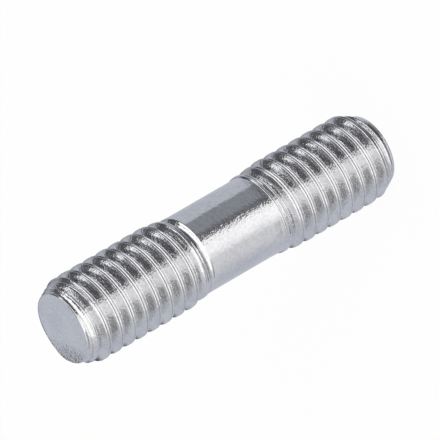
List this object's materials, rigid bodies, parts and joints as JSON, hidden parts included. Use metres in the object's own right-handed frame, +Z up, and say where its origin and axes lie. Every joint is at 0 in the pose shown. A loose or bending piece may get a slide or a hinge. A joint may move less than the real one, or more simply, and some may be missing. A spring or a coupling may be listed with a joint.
{
  "type": "double end stud",
  "caption": "Headless steel stud with a rolled right-hand metric thread at each end, flat end faces and a plain shank between the threads, for joining two parts with nuts or tapped holes.",
  "frame": {"origin": "middle of the lower end face, on which the stud stands", "axes": "+Z runs up the stud, from the lower end face to the upper one"},
  "size_m": [0.0058, 0.0058, 0.025],
  "materials": {
    "plated_steel": "bright plated steel, smooth rolled surface with a fine pebbly texture"
  },
  "bodies": {
    "root": {"stud": "plated_steel"}
  },
  "joints": []
}
